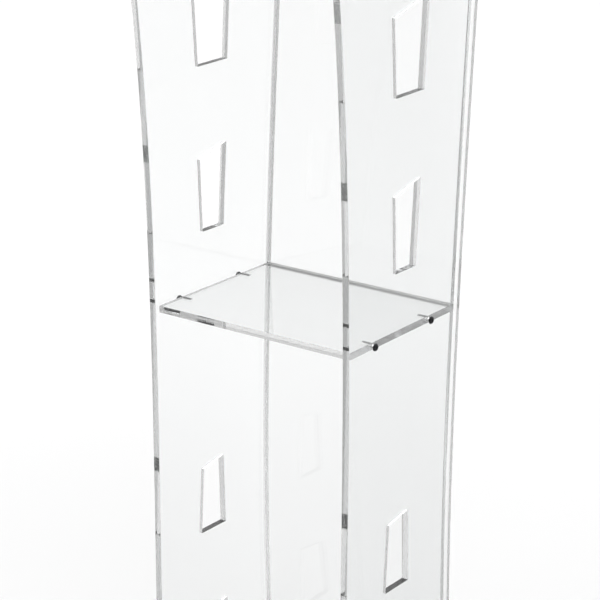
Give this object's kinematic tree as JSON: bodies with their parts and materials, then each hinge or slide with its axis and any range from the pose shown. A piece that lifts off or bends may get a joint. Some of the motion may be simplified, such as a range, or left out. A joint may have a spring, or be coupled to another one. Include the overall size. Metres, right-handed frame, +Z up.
{
  "type": "magazine rack",
  "caption": "Tall clear acrylic tower with waisted side panels, slanted hand holes, curved back sheets and flat shelves fixed by screws through the sides.",
  "frame": {"origin": "centre of the bounding box at the floor, midway between the side panels", "axes": "+X across the rack to the right as seen from its open front, +Y to its back, +Z up"},
  "size_m": [0.3472, 0.3334, 1.22],
  "materials": {
    "clear_acrylic": "polished",
    "dark_steel": "satin"
  },
  "bodies": {
    "root": {"side_panel_left": "clear_acrylic", "side_panel_right": "clear_acrylic", "shelf_bottom": "clear_acrylic", "shelf_middle": "clear_acrylic", "shelf_top": "clear_acrylic", "back_sheet_lower": "clear_acrylic", "back_sheet_upper": "clear_acrylic", "screw_bottom_left_front": "dark_steel", "screw_bottom_left_back": "dark_steel", "screw_bottom_right_front": "dark_steel", "screw_bottom_right_back": "dark_steel", "screw_middle_left_front": "dark_steel", "screw_middle_left_back": "dark_steel", "screw_middle_right_front": "dark_steel", "screw_middle_right_back": "dark_steel", "screw_top_left_front": "dark_steel", "screw_top_left_back": "dark_steel", "screw_top_right_front": "dark_steel", "screw_top_right_back": "dark_steel"}
  },
  "joints": []
}
